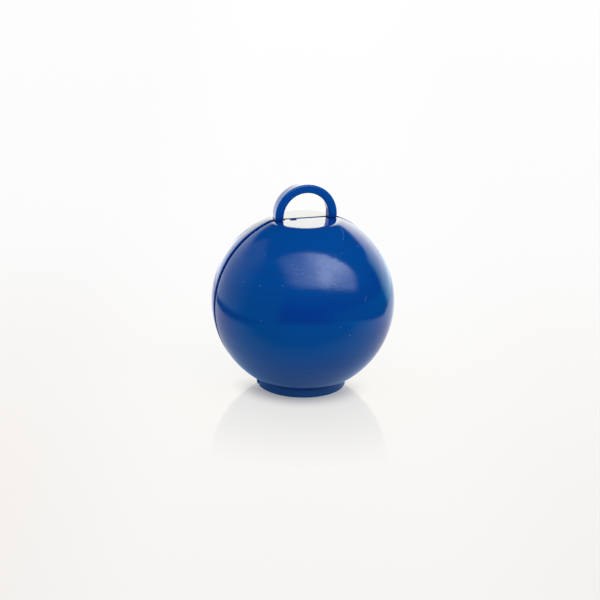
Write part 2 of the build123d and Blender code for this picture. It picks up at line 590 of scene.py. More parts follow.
@dataclass(frozen=True)
class BluePlastic:
    """Royal-blue moulded plastic: high gloss, fine level polish lines, scuffed patches, scratches and dust,
    with light painted into the colour: painted shade and table bounce on the foot, painted light through the
    thin loop, and a painted highlight in the scuffed patches.

    Directions are in degrees, round from the front towards +X and up from the level. A depth is a share of
    the relief, a haze is added to the roughness, and a core is the share of a mark with its full strength.
    """

    ball: "BallForm"
    slot: str = "blue_plastic"
    colour: Colour = (0.0004, 0.0392, 0.272, 1.0)
    deep_colour: Colour = (0.0003, 0.0330, 0.238, 1.0)
    # Painted shade under the ball's overhang and painted bounce light from the table: the foot darker and
    # greener.
    foot_shade_and_bounce_colour: Colour = (0.0004, 0.0530, 0.232, 1.0)
    # Painted light shining through the thin loop from the bright wall behind: the loop above the flat lighter
    # blue.
    loop_backlight_colour: Colour = (0.0006, 0.0515, 0.325, 1.0)
    worn_colour: Colour = (0.12, 0.25, 0.50, 1.0)
    # Pale colour of the scuffs: partly real scuffing, partly a painted highlight, since the patches sit where
    # the box's highlight falls.
    scuff_sheen_colour: Colour = (0.30, 0.43, 0.60, 1.0)
    roughness: float = 0.085
    flow: Grain = Grain(0.045, 3.0, (1, 1, 0.45), (0.35, 0.65))
    flow_share: float = 0.45
    polish: Grain = Grain(0.9, 4.0, (0.06, 0.06, 1), (0.38, 0.62))
    polish_share: float = 0.55
    polish_depth: float = 0.7
    polish_haze: float = 0.03
    peel: Grain = Grain(0.35, 1.0)
    peel_depth: float = 0.10
    fine_peel: Grain = Grain(1.6, 2.0)
    fine_peel_depth: float = 0.02
    relief_depth: float = 0.02 * MM
    relief_strength: float = 0.3
    loop_backlight_rise: float = 2.0 * MM
    foot_shade_levels: Span = (2.2 * MM, 0.9 * MM)
    scuff_grain: Grain = Grain(2.3, 2.0, (0.4, 0.4, 1), (0.50, 0.66))
    scuff_core: float = 0.3
    scuff_sheen_share: float = 0.12
    scuff_haze: float = 0.15
    wear_share: float = 0.5
    wear_depth: float = 0.2
    wear_haze: float = 0.3
    dust_cells_per_mm: float = 0.28
    dust_share: float = 0.12
    dust_radius: float = 0.02
    dust_radius_spread: float = 0.03
    dust_edge: float = 0.02
    dust_strength: float = 0.4
    speck_core: float = 0.2
    scratch_core: float = 0.25
    # The patches sit on the box's highlight as the camera sees it.
    scuffs: tuple[Scuff, ...] = (
        Scuff(1.0, 35.0, 6.5 * MM, 1.0),
        Scuff(-18.0, 37.0, 5.5 * MM, 0.5),
    )
    specks: tuple[Speck, ...] = (
        Speck(-62.0, 24.4, 0.24 * MM),
        Speck(-48.2, 24.7, 0.22 * MM),
        Speck(-53.3, 44.3, 0.20 * MM),
        Speck(-43.9, 4.3, 0.18 * MM),
        Speck(-32.1, 26.8, 0.20 * MM),
        Speck(5.6, 1.3, 0.18 * MM),
        Speck(12.1, -4.7, 0.22 * MM),
        Speck(17.0, 46.3, 0.18 * MM),
        Speck(40.2, 47.9, 0.26 * MM),
    )
    scratches: tuple[Scratch, ...] = (
        Scratch((40.9, 63.7), (38.5, 60.6), 0.09 * MM),
        Scratch((38.5, 60.6), (27.4, 55.2), 0.09 * MM),
        Scratch((13.2, 41.0), (10.8, 35.4), 0.08 * MM),
        Scratch((24.2, 14.4), (25.9, 17.0), 0.36 * MM, 0.25),
        Scratch((150.0, 32.0), (158.0, 26.0), 0.09 * MM),
        Scratch((-128.0, -8.0), (-121.0, -2.0), 0.08 * MM),
    )

    def _point(self, azimuth: float, elevation: float) -> Vector:
        """The point of the ball's surface in a direction."""
        across, up = math.radians(azimuth), math.radians(elevation)
        level = self.ball.radius * math.cos(up)
        height = self.ball.centre_z + self.ball.radius * math.sin(up)
        return Vector((level * math.sin(across), -level * math.cos(across), height))

    def _scuff_and_sheen_patches(self, graph: NodeGraph, place: Feed) -> Signal:
        """The scuffed patches as one mask, on the ball's outer face only; the patches sit on the box's
        highlight, so their pale colour is partly a painted highlight.

        Args:
            graph: The material's nodes.
            place: The place on the surface.

        Returns:
            How scuffed the surface is, from 0 to 1.
        """
        from_centre = graph.distance(place, (0, 0, self.ball.centre_z))
        outside = from_centre > self.ball.radius - self.ball.wall / 2
        patches = outside * 0.0
        for scuff_and_sheen in self.scuffs:
            gap = graph.distance(place, self._point(scuff_and_sheen.azimuth, scuff_and_sheen.elevation))
            patch = gap.rise(scuff_and_sheen.radius, self.scuff_core * scuff_and_sheen.radius)
            patches = patches.largest(patch * scuff_and_sheen.strength)
        return patches * outside

    def _scratch(self, graph: NodeGraph, place: Feed, scratch: Scratch) -> Signal:
        """One scratch as a mask.

        Args:
            graph: The material's nodes.
            place: The place on the surface.
            scratch: The scratch.

        Returns:
            The scratch's strength in its middle, 0 outside it.
        """
        start, end = self._point(*scratch.start), self._point(*scratch.end)
        way = end - start
        offset = graph.vector("SUBTRACT", {0: place, 1: start}).outputs[0]
        sockets = {0: offset, 1: way / way.length_squared}
        along = Signal(graph, graph.vector("DOT_PRODUCT", sockets).outputs["Value"])
        nearest = graph.vector("SCALE", {0: way, "Scale": along.largest(0.0).smallest(1.0)}).outputs[0]
        gap = graph.distance(offset, nearest)
        return gap.rise(scratch.width, self.scratch_core * scratch.width) * scratch.strength

    def _wear(self, graph: NodeGraph, place: Feed) -> Signal:
        """Dust and scratches as one mask: the marks that are listed and fine dust all over.

        Args:
            graph: The material's nodes.
            place: The place on the surface.

        Returns:
            How worn the surface is, from 0 to 1.
        """
        from_middle, rare, size_draw = graph.cells(place, self.dust_cells_per_mm)
        beyond_dust = from_middle - self.dust_radius - self.dust_radius_spread * size_draw
        wear = beyond_dust.rise(self.dust_edge, 0.0) * (rare > 1 - self.dust_share) * self.dust_strength
        for speck in self.specks:
            gap = graph.distance(place, self._point(speck.azimuth, speck.elevation))
            wear = wear.largest(gap.rise(speck.radius, self.speck_core * speck.radius))
        for scratch in self.scratches:
            wear = wear.largest(self._scratch(graph, place, scratch))
        return wear

    def material(self) -> bpy.types.Material:
        """Makes the finish."""
        made, graph, place = start_material(self.slot)
        _, _, height = graph.split(place)
        polish = graph.noise(place, self.polish)
        scuff_and_sheen = self._scuff_and_sheen_patches(graph, place) * graph.noise(place, self.scuff_grain)
        wear = self._wear(graph, place)
        deep = graph.noise(place, self.flow) * self.flow_share + polish * self.polish_share
        # Painted back-light on the loop and whatever else stands above the flat.
        loop_backlight = height.rise(self.ball.flat_z, self.ball.flat_z + self.loop_backlight_rise)
        colour = graph.mix(deep, self.colour, self.deep_colour)
        colour = graph.mix(loop_backlight, colour, self.loop_backlight_colour)
        # Painted shade and table bounce on the foot.
        colour = graph.mix(height.rise(*self.foot_shade_levels), colour, self.foot_shade_and_bounce_colour)
        # Scuffs: real wear, with their pale colour partly a painted highlight.
        colour = graph.mix(scuff_and_sheen * self.scuff_sheen_share, colour, self.scuff_sheen_colour)
        colour = graph.mix(wear * self.wear_share, colour, self.worn_colour)
        haze = polish * self.polish_haze + scuff_and_sheen * self.scuff_haze + wear * self.wear_haze
        relief = graph.noise(place, self.peel) * self.peel_depth
        relief = relief + graph.noise(place, self.fine_peel) * self.fine_peel_depth
        relief = relief + polish * self.polish_depth + wear * self.wear_depth
        graph.surface(colour, self.roughness + haze, relief, self.relief_depth, self.relief_strength)
        return made


@dataclass(frozen=True)
class CastMineral:
    """Grey cast mineral: a matt, sandy skin with pits where air was trapped, the pits darkened with painted
    shade.
    """

    slot: str = "cast_mineral"
    colour: Colour = (0.36, 0.34, 0.31, 1.0)
    pale_colour: Colour = (0.47, 0.45, 0.41, 1.0)
    # Painted shade in the pits.
    pit_shade_colour: Colour = (0.16, 0.15, 0.14, 1.0)
    bloom: Grain = Grain(0.12, 4.0, band=(0.38, 0.66))
    bloom_share: float = 0.7
    sand: Grain = Grain(2.6, 3.0)
    sand_share: float = 0.3
    sand_depth: float = 0.5
    sand_haze: float = 0.15
    pit_cells_per_mm: float = 0.42
    pit_share: float = 0.38
    pit_radius: Span = (0.26, 0.12)
    pit_shade_strength: float = 0.8
    roughness: float = 0.8
    relief_depth: float = 0.12 * MM
    relief_strength: float = 0.7

    def material(self) -> bpy.types.Material:
        """Makes the finish."""
        made, graph, place = start_material(self.slot)
        sand = graph.noise(place, self.sand)
        from_middle, rare, _ = graph.cells(place, self.pit_cells_per_mm)
        pit = from_middle.rise(*self.pit_radius) * (rare > 1 - self.pit_share)
        pale = graph.noise(place, self.bloom) * self.bloom_share + sand * self.sand_share
        skin = graph.mix(pale, self.colour, self.pale_colour)
        # Painted shade in the pits.
        colour = graph.mix(pit * self.pit_shade_strength, skin, self.pit_shade_colour)
        roughness = self.roughness + sand * self.sand_haze
        relief = sand * self.sand_depth - pit
        graph.surface(colour, roughness, relief, self.relief_depth, self.relief_strength)
        return made


@dataclass
class BallForm:
    """The outer form that both shells are halves of, and the hollow inside it."""

    radius: float = 23.0 * MM
    centre_z: float = 22.05 * MM
    flat_radius: float = 8.4 * MM
    foot_radius: float = 11.3 * MM
    wall: float = 2.0 * MM
    flat_edge_round: float = 0.35 * MM
    foot_edge_round: float = 0.35 * MM
    foot_neck_round: float = 0.4 * MM
    groove_front: float = 0.5 * MM
    groove_rear: float = 0.9 * MM
    groove_depth: float = 1.0 * MM
    groove_edge_round: float = 0.2 * MM
    core_room_radius: float = 18.8 * MM
    rib_thickness: float = 1.4 * MM
    rib_rim_gap: float = 3.5 * MM
    rib_angles: tuple[float, ...] = (math.radians(45), math.radians(135))
    inner_ring: float = 0.6 * MM
    corner_clearing: float = 1.3
    meridian_points: int = 256
    turn_steps: int = 112
    seam_sector: float = math.radians(10)
    seam_steps: int = 5
    round_steps: int = 6
    hollow_segments: int = 96
    hollow_rings: int = 64

    def __post_init__(self) -> None:
        """Works out the levels that follow from the sizes."""
        self.flat_z = self.centre_z + math.sqrt(self.radius**2 - self.flat_radius**2)
        self.foot_top_z = self.centre_z - math.sqrt(self.radius**2 - self.foot_radius**2)

    def rim_distance(self, half: Half) -> float:
        """How far a half's rim stands from the seam plane."""
        return self.groove_front if half is Half.FRONT else self.groove_rear

    def _round_corner(self, x: float, z: float, radius: float, turn: float) -> None:
        """Rounds one corner of the profile.

        Args:
            x: The corner's distance from the axis.
            z: Its level.
            radius: The round's radius.
            turn: The angle through which the profile turns there.
        """
        reach = radius * math.tan(turn / 2)
        cleared = self.corner_clearing * reach
        if Bench.pick(lambda at: NEAR < math.hypot(at.x - x, at.z - z) < cleared):
            bpy.ops.mesh.dissolve_verts()
        Bench.pick(lambda at: math.hypot(at.x - x, at.z - z) < NEAR)
        bpy.ops.mesh.bevel(
            affect="VERTICES", offset=reach, segments=self.round_steps, profile=ROUND_PROFILE
        )

    def _profile(self) -> bpy.types.Object:
        """Draws half the ball's outline in the plane y = 0, from the flat top to the foot's underside."""
        outline = Bench.ring("half_ball", self.meridian_points, self.radius, (0, 0, self.centre_z))
        Bench.trim((0, 0, 0), (-1, 0, 0))
        Bench.trim((0, 0, self.flat_z), (0, 0, 1))
        Bench.trim((0, 0, self.foot_top_z), (0, 0, -1))
        Bench.pick(lambda at: at.z > self.flat_z - NEAR)
        Bench.draw_out((-self.inner_ring, 0, 0))
        Bench.pick(lambda at: at.z < self.foot_top_z + NEAR)
        Bench.draw_out((0, 0, -self.foot_top_z))
        Bench.draw_out((-self.inner_ring - self.foot_edge_round, 0, 0))
        dip = math.asin(self.flat_radius / self.radius)
        self._round_corner(self.flat_radius, self.flat_z, self.flat_edge_round, dip)
        undercut = math.asin(self.foot_radius / self.radius)
        self._round_corner(self.foot_radius, self.foot_top_z, self.foot_neck_round, math.pi / 2 - undercut)
        self._round_corner(self.foot_radius, 0, self.foot_edge_round, math.pi / 2)
        return outline

    def half_ball(self, half: Half) -> bpy.types.Object:
        """Models one half of the ball as a closed form, with the round along its rim.

        Args:
            half: Which half.

        Returns:
            The form.
        """
        made = self._profile()
        round_start = self.rim_distance(half) + self.groove_edge_round
        start = Euler((0, 0, -self.seam_sector)).to_matrix()
        bpy.ops.mesh.select_all(action="SELECT")
        Bench.replace(lambda at: start @ at)
        bpy.ops.mesh.spin(
            steps=self.turn_steps,
            angle=math.pi - 2 * self.seam_sector,
            center=(0, 0, 0),
            axis=(0, 0, 1),
        )
        for side in (1, -1):
            self._bring_to_rim(side, round_start)
        for level in (self.flat_z, 0.0):
            self._fill_level(level)
        Bench.pick(lambda at: at.y > -round_start - MERGE_GAP)
        bpy.ops.mesh.edge_face_add()
        Bench.round_over(self.groove_edge_round, self.round_steps)
        if half is Half.REAR:
            bpy.ops.mesh.select_all(action="SELECT")
            bpy.ops.transform.rotate(value=math.pi, orient_axis="Z", center_override=(0, 0, 0))
        Bench.close_up()
        return made

    def _bring_to_rim(self, side: int, round_start: float) -> None:
        """Carries one end of the spun form on to the rim, each point along its own circle round the axis.

        Args:
            side: 1 for the end at +X, -1 for the one at -X.
            round_start: The distance from the seam plane at which the rim's round starts.
        """
        slope = math.tan(self.seam_sector)
        Bench.pick(lambda at: at.x * side > 0 and abs(-at.y - abs(at.x) * slope) < NEAR)
        for step in range(self.seam_steps):
            bpy.ops.mesh.extrude_region_move()
            left = (self.seam_steps - step - 1) / (self.seam_steps - step)

            def along(at: Vector) -> Vector:
                """The next place on the point's own circle."""
                reach = math.hypot(at.x, at.y)
                last = math.asin(round_start / reach)
                angle = last + (math.asin(-at.y / reach) - last) * left
                return Vector((side * reach * math.cos(angle), -reach * math.sin(angle), at.z))

            Bench.replace(along)

    def _fill_level(self, level: float) -> None:
        """Closes the flat top or the foot's underside with one face."""
        edge = self.flat_radius if level else self.foot_radius - self.foot_edge_round
        reach = edge - self.inner_ring + RING_NEAR
        Bench.pick(lambda at: abs(at.z - level) < NEAR and math.hypot(at.x, at.y) < reach)
        bpy.ops.mesh.edge_face_add()

    def seam_prism(self, name: str, inset: float, start_y: float, end_y: float) -> bpy.types.Object:
        """A block of the ball's outline in the seam plane, drawn in all round.

        Args:
            name: The form's name.
            inset: How far it is drawn in.
            start_y: The block's one end.
            end_y: Its other end.

        Returns:
            The form.
        """
        radius = self.radius - inset
        foot = self.foot_radius - inset
        neck_z = self.centre_z - math.sqrt(radius**2 - foot**2)
        made = Bench.ring(name, self.meridian_points, radius, (0, start_y, self.centre_z))
        Bench.trim((0, 0, self.flat_z - inset), (0, 0, 1))
        Bench.trim((0, 0, neck_z), (0, 0, -1))
        Bench.pick(lambda at: at.z < neck_z + NEAR)
        Bench.draw_out((0, 0, inset - neck_z))
        bpy.ops.mesh.select_all(action="SELECT")
        bpy.ops.mesh.edge_face_add()
        Bench.draw_out((0, end_y - start_y, 0))
        Bench.close_up()
        return made

    def hollow(self) -> bpy.types.Object:
        """The space inside both shells: the cavity less the crossed ribs, with room for the core."""
        cavity = self._sphere("hollow", self.radius - self.wall)
        bpy.ops.object.mode_set(mode="EDIT")
        Bench.trim((0, 0, self.flat_z - self.wall), (0, 0, 1), fill=True)
        Bench.trim((0, 0, self.wall), (0, 0, -1), fill=True)
        Bench.close_up()
        for half in Half:
            for angle in self.rib_angles:
                Bench.work_in(cavity, self._rib(half, angle), Join.CUT)
        Bench.work_in(cavity, self._sphere("core_room", self.core_room_radius), Join.WELD)
        return cavity

    def _sphere(self, name: str, radius: float) -> bpy.types.Object:
        """A ball about the centre, as a start for the hollow."""
        Bench.clear()
        bpy.ops.mesh.primitive_uv_sphere_add(
            segments=self.hollow_segments,
            ring_count=self.hollow_rings,
            radius=radius,
            location=(0, 0, self.centre_z),
        )
        made = Bench.begin(name)
        Bench.close_up()
        return made

    def _rib(self, half: Half, angle: float) -> bpy.types.Object:
        """One slanting plate of the crossed ribs in one half of the ball."""
        middle = self.rib_rim_gap + self.radius / 2
        Bench.clear()
        bpy.ops.mesh.primitive_cube_add(
            size=1.0,
            location=(0, half.value * middle, self.centre_z),
            rotation=(0, angle, 0),
            scale=(2 * self.radius, self.radius, self.rib_thickness),
        )
        made = Bench.begin("rib")
        Bench.close_up()
        return made


@dataclass
class Shell:
    """What the two shells have in common."""

    ball: BallForm
    finish: bpy.types.Material
    sharp_degrees: float = 32.0
    clearance: float = 0.08 * MM
    tongue_reach: float = 2.5 * MM
    tongue_end_gap: float = 0.4 * MM

    def dress(self, made: bpy.types.Object, body: str, node: str) -> None:
        """Gives a shell its finish and its place in the frame.

        Args:
            made: The shell.
            body: The body that it rides on.
            node: The node that it stands for.
        """
        Bench.finish_surface(made, self.sharp_degrees)
        made.data.materials.clear()
        made.data.materials.append(self.finish)
        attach(made, body)
        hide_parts(node)
        log.info("%s: %d faces on body %s", made.name, len(made.data.polygons), body)


@dataclass
class FrontShell(Shell):
    """The front half: ball, flat and foot, a rebate for the rear shell's tongue, a lip and the gate mark."""

    rebate_start_y: float = 1.0 * MM
    lip_half_width: float = 5.3 * MM
    lip_end_y: float = 0.2 * MM
    lip_round: float = 0.15 * MM
    lip_steps: int = 4
    gate_x: float = -3.15 * MM
    gate_length: float = 1.5 * MM
    gate_front_y: float = -0.85 * MM
    gate_front_rise: float = 0.08 * MM
    gate_rise: float = 0.3 * MM
    gate_end_gap: float = 0.1 * MM
    gate_edge_round: float = 0.07 * MM
    gate_steps: int = 3

    def build(self, hollow: bpy.types.Object) -> bpy.types.Object:
        """Models the shell.

        Args:
            hollow: The space inside both shells.

        Returns:
            The piece.
        """
        made = self.ball.half_ball(Half.FRONT)
        made.name = "front_half"
        inset = self.ball.groove_depth - self.clearance
        rebate_end_y = -self.tongue_reach - self.tongue_end_gap
        rebate = self.ball.seam_prism("rebate", inset, self.rebate_start_y, rebate_end_y)
        Bench.work_in(made, rebate, Join.CUT)
        Bench.work_in(made, Bench.copy(hollow, "front_hollow"), Join.CUT)
        Bench.work_in(made, self._lip(), Join.WELD)
        Bench.work_in(made, self._gate_mark(), Join.WELD)
        self.dress(made, "front", "front_shell")
        return made

    def _lip(self) -> bpy.types.Object:
        """The block that carries the flat back over the tongue between the loop's legs."""
        root_y = -self.ball.groove_front - 2 * self.ball.groove_edge_round
        top_z = self.ball.flat_z
        low = (-self.lip_half_width, root_y, top_z - self.ball.groove_depth + self.clearance)
        made = Bench.block("lip", low, (self.lip_half_width, self.lip_end_y - self.lip_round, top_z))
        Bench.pick(lambda at: at.y > root_y + NEAR)
        Bench.round_over(self.lip_round, self.lip_steps)
        Bench.close_up()
        return made

    def _gate_mark(self) -> bpy.types.Object:
        """The wedge that was left where the plastic ran into the mould, sloped down towards the front."""
        flat_z = self.ball.flat_z
        root_z = flat_z - self.ball.groove_edge_round
        end_y = self.lip_end_y - self.gate_end_gap
        low = (self.gate_x - self.gate_length / 2, self.gate_front_y, root_z)
        high = (self.gate_x + self.gate_length / 2, end_y, flat_z + self.gate_rise)
        made = Bench.block("gate_mark", low, high)
        Bench.pick(lambda at: at.z > flat_z and at.y < end_y - NEAR)
        Bench.replace(lambda at: Vector((at.x, at.y, flat_z + self.gate_front_rise)))
        Bench.pick(lambda at: at.z > flat_z)
        bpy.ops.mesh.bevel(
            affect="EDGES", offset=self.gate_edge_round, segments=self.gate_steps, profile=ROUND_PROFILE
        )
        Bench.close_up()
        return made


@dataclass
class RibbonLoop:
    """The arched loop for the ribbon, moulded on the rear shell and clear of the front one."""

    ball: BallForm
    outer_radius: float = 8.05 * MM
    inner_radius: float = 5.8 * MM
    leg: float = 0.9 * MM
    front_reach: float = 1.25 * MM
    rear_reach: float = 2.35 * MM
    draft: float = math.radians(4)
    edge_round: float = 0.5 * MM
    overhang_gap: float = 0.25 * MM
    root_gap: float = 0.15 * MM
    arch_steps: int = 72
    edge_steps: int = 6

    def build(self) -> bpy.types.Object:
        """Models the loop, with its roots down to the tongue."""
        centre_z = self.ball.flat_z + self.leg
        width = self.outer_radius - self.inner_radius
        middle = self.inner_radius + width / 2
        root = centre_z - (self.ball.flat_z - self.ball.groove_depth)
        Bench.clear()
        bpy.ops.mesh.primitive_plane_add(
            size=1.0, location=(middle, (self.rear_reach - self.front_reach) / 2, centre_z)
        )
        bpy.context.object.scale = (width, self.front_reach + self.rear_reach, 1.0)
        made = Bench.begin("ribbon_loop")
        taper = 1 - 2 * (self.front_reach + self.rear_reach) * math.tan(self.draft) / width
        Bench.pick(lambda at: at.y > 0)
        Bench.replace(lambda at: Vector((middle + (at.x - middle) * taper, at.y, at.z)))
        bpy.ops.mesh.select_all(action="SELECT")
        bpy.ops.mesh.bevel(
            affect="VERTICES", offset=self.edge_round, segments=self.edge_steps, profile=ROUND_PROFILE
        )
        bpy.ops.mesh.select_all(action="SELECT")
        bpy.ops.mesh.delete(type="ONLY_FACE")
        bpy.ops.mesh.select_all(action="SELECT")
        bpy.ops.mesh.spin(steps=self.arch_steps, angle=math.pi, center=(0, 0, centre_z), axis=(0, 1, 0))
        for side in (1, -1):
            Bench.pick(lambda at: at.x * side > 0 and abs(at.z - centre_z) < NEAR)
            Bench.draw_out((0, 0, -root))
            bpy.ops.mesh.edge_face_add()
        Bench.close_up()
        Bench.work_in(made, self._clearance_block(), Join.CUT)
        return made

    def _clearance_block(self) -> bpy.types.Object:
        """The space under the loop's front half."""
        front_y = -self.ball.groove_front + self.root_gap
        top_z = self.ball.flat_z + self.overhang_gap
        side = 2 * self.outer_radius
        made = Bench.block("overhang_gap", (-side, front_y - side, top_z - side), (side, front_y, top_z))
        Bench.close_up()
        return made


@dataclass
class RearShell(Shell):
    """The rear half: ball, flat and foot, with the tongue and the ribbon loop."""

    tongue_lead_in: float = 0.3 * MM

    def build(self, hollow: bpy.types.Object) -> bpy.types.Object:
        """Models the shell.

        Args:
            hollow: The space inside both shells.

        Returns:
            The piece.
        """
        made = self.ball.half_ball(Half.REAR)
        made.name = "rear_half"
        Bench.work_in(made, self._tongue(), Join.WELD)
        Bench.work_in(made, Bench.copy(hollow, "rear_hollow"), Join.CUT)
        Bench.work_in(made, RibbonLoop(self.ball).build(), Join.WELD)
        self.dress(made, "rear", "rear_shell")
        return made

    def _tongue(self) -> bpy.types.Object:
        """The tongue's block, with a chamfer round its end."""
        end_y = self.tongue_lead_in - self.tongue_reach
        root_y = self.ball.groove_rear + self.ball.wall
        made = self.ball.seam_prism("tongue", self.ball.groove_depth, root_y, end_y)
        Bench.activate(made)
        bpy.ops.object.mode_set(mode="EDIT")
        Bench.pick(lambda at: at.y < end_y + NEAR)
        bpy.ops.mesh.select_mode(type="FACE")
        bpy.ops.mesh.inset(thickness=self.tongue_lead_in, depth=self.tongue_lead_in, use_even_offset=True)
        bpy.ops.mesh.select_mode(type="VERT")
        Bench.close_up()
        return made


@dataclass
class BallastCore:
    """The cast ball of ballast, with the flat that it was poured through."""

    ball: BallForm
    finish: bpy.types.Material
    radius: float = 18.5 * MM
    pour_radius: float = 6.5 * MM
    pour_round: float = 0.8 * MM
    skin_depth: float = 0.22 * MM
    skin_grain: float = 2.2 * MM
    skin_octaves: int = 3
    outline_points: int = 256
    turn_steps: int = 200
    pour_rings: int = 14
    pour_steps: int = 4

    def build(self) -> bpy.types.Object:
        """Models the core by spinning its outline, and roughens its skin inwards."""
        centre = self.ball.centre_z
        pour_z = centre + math.sqrt(self.radius**2 - self.pour_radius**2)
        made = Bench.ring("cast_core", self.outline_points, self.radius, (0, 0, centre))
        Bench.trim((0, 0, 0), (-1, 0, 0))
        Bench.trim((0, 0, pour_z), (0, 0, 1))
        Bench.pick(lambda at: at.z > pour_z - NEAR)
        for _ in range(self.pour_rings):
            Bench.draw_out((-self.pour_radius / self.pour_rings, 0, 0))
        Bench.replace(lambda at: Vector((0, 0, at.z)))
        dip = math.asin(self.pour_radius / self.radius)
        Bench.pick(lambda at: abs(at.z - pour_z) < NEAR and abs(at.x - self.pour_radius) < NEAR)
        reach = self.pour_round * math.tan(dip / 2)
        bpy.ops.mesh.bevel(
            affect="VERTICES", offset=reach, segments=self.pour_steps, profile=ROUND_PROFILE
        )
        bpy.ops.mesh.select_all(action="SELECT")
        bpy.ops.mesh.spin(steps=self.turn_steps, angle=2 * math.pi, center=(0, 0, 0), axis=(0, 0, 1))
        Bench.close_up()
        self._roughen(made)
        self.dress(made)
        return made

    def dress(self, made: bpy.types.Object) -> None:
        """Gives the core its finish and its place in the frame."""
        bpy.ops.object.shade_smooth()
        made.data.materials.append(self.finish)
        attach(made, "core")
        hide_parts("ballast_core")
        log.info("%s: %d faces on body core", made.name, len(made.data.polygons))

    def _roughen(self, made: bpy.types.Object) -> None:
        """Sinks the skin by an uneven depth, never outwards."""
        texture = bpy.data.textures.new("cast_skin", "CLOUDS")
        texture.noise_scale = self.skin_grain
        texture.noise_depth = self.skin_octaves
        modifier = made.modifiers.new("skin", "DISPLACE")
        modifier.texture = texture
        modifier.texture_coords = "LOCAL"
        modifier.mid_level = 1.0
        modifier.strength = self.skin_depth
        bpy.ops.object.modifier_apply(modifier=modifier.name)


@dataclass(frozen=True)
class Viewpoint:
    """Where the photograph was taken from: the camera's place round what it looks at, and its lens."""

    distance: float = 437.0 * MM
    azimuth: float = math.radians(-18.25)
    elevation: float = math.radians(19.08)
    roll: float = math.radians(1.51)
    lens_mm: float = 104.04
    sensor_mm: float = 36.0
    aside_pixels: float = 2.9
    nearest: float = 0.01
    farthest: float = 50.0

    def back(self) -> Vector:
        """The direction from the object to the camera."""
        level = math.cos(self.elevation)
        return Vector(
            (math.sin(self.azimuth) * level, -math.cos(self.azimuth) * level, math.sin(self.elevation))
        )

    def depth(self, x: Signal, y: Signal) -> Signal:
        """How far a place on the table lies beyond the object's middle, from the camera."""
        return y * math.cos(self.azimuth) - x * math.sin(self.azimuth)

    def aside(self, x: Signal, y: Signal) -> Signal:
        """How far a place on the table lies to the right of the object's middle, from the camera."""
        return x * math.cos(self.azimuth) + y * math.sin(self.azimuth)

    def set_camera(self, aim: Vector) -> None:
        """Puts the camera where the photograph was taken from.

        Args:
            aim: The point that it looks at.
        """
        lens = bpy.data.cameras.new("camera")
        lens.lens = self.lens_mm
        lens.sensor_width = self.sensor_mm
        lens.shift_x = -self.aside_pixels / IMAGE_SIDE
        lens.clip_start = self.nearest
        lens.clip_end = self.farthest
        camera = bpy.data.objects.new("camera", lens)
        camera.location = aim + self.back() * self.distance
        facing = (-self.back()).to_track_quat("-Z", "Y")
        camera.rotation_euler = (facing @ Euler((0, 0, self.roll)).to_quaternion()).to_euler()
        bpy.context.collection.objects.link(camera)
        bpy.context.scene.camera = camera


@dataclass(frozen=True)
class SoftBox:
    """The main light: a flat panel that hangs over the front, brightest towards its right-hand end.

    Angles are in degrees, round from the front towards +X and up from the horizon. A pair is the two ends of
    a smooth step. An edge is the normal of the plane through the object and one straight side of the panel.
    """

    level: float = 4.1
    tint: Colour = (1.0, 1.1, 1.28, 1.0)
    top_edge: Place = (0.23, 0.88, 0.16)
    top_fade: Span = (0.045, -0.045)
    left_edge: Place = (-0.78, 0.37, -0.51)
    left_fade: Span = (-0.06, 0.32)
    left_lift: float = 0.01
    left_lift_from: float = 50.0
    left_lift_least: float = -3.0
    lower_middle: float = -23.0
    lower_height: float = 32.6
    lower_bow: float = 0.00267
    lower_fade: Span = (-3.0, 6.0)
    right_lean: float = 0.85
    right_fade: Span = (50.0, 31.0)
    along: tuple[Span, ...] = (
        (-88, 0.1),
        (-70, 0.15),
        (-50, 0.21),
        (-36, 0.25),
        (-22, 0.32),
        (-10, 0.43),
        (0, 0.54),
        (20, 0.9),
        (45, 1.03),
    )
    low_share: float = 0.40
    low_fade: Span = (22.0, 47.0)
    low_drop: float = 5.0
    low_drop_across: Span = (0.0, 30.0)
    high_loss: float = 0.30
    high_up: Span = (60.0, 77.0)
    high_across: Span = (-5.0, 22.0)
    lamp_level: float = 0.3
    lamp_across: tuple[Span, Span] = ((4.0, 16.0), (36.0, 24.0))
    lamp_up: tuple[Span, Span] = ((29.0, 36.0), (56.0, 44.0))

    def brightness(
        self, graph: NodeGraph, direction: tuple[Signal, Signal, Signal], across: Signal, up: Signal
    ) -> Signal:
        """How bright the panel is.

        Args:
            graph: The world's nodes.
            direction: The direction, as its three parts.
            across: Its angle round from the front.
            up: Its angle above the horizon.

        Returns:
            The brightness in that direction.
        """

        def beyond(edge: Place) -> Signal:
            """How far a direction lies outside a straight edge, as a sine."""
            x, y, z = direction
            return x * edge[0] + y * edge[1] + z * edge[2]

        off_middle = across - self.lower_middle
        lower = self.lower_height - off_middle * off_middle * self.lower_bow
        inside = (up - lower).rise(*self.lower_fade) * beyond(self.top_edge).rise(*self.top_fade)
        lift = (up - self.left_lift_from).largest(self.left_lift_least) * self.left_lift
        inside = inside * (lift - beyond(self.left_edge)).rise(*self.left_fade)
        inside = inside * (across - up * self.right_lean).rise(*self.right_fade)
        low = up - across.rise(*self.low_drop_across) * self.low_drop
        light = graph.curve(across, self.along)
        light = light * (self.low_share + low.rise(*self.low_fade) * (1 - self.low_share))
        light = light * (1 - up.rise(*self.high_up) * across.rise(*self.high_across) * self.high_loss)
        lamp = across.between(*self.lamp_across) * up.between(*self.lamp_up)
        return inside * (light + lamp * self.lamp_level) * self.level


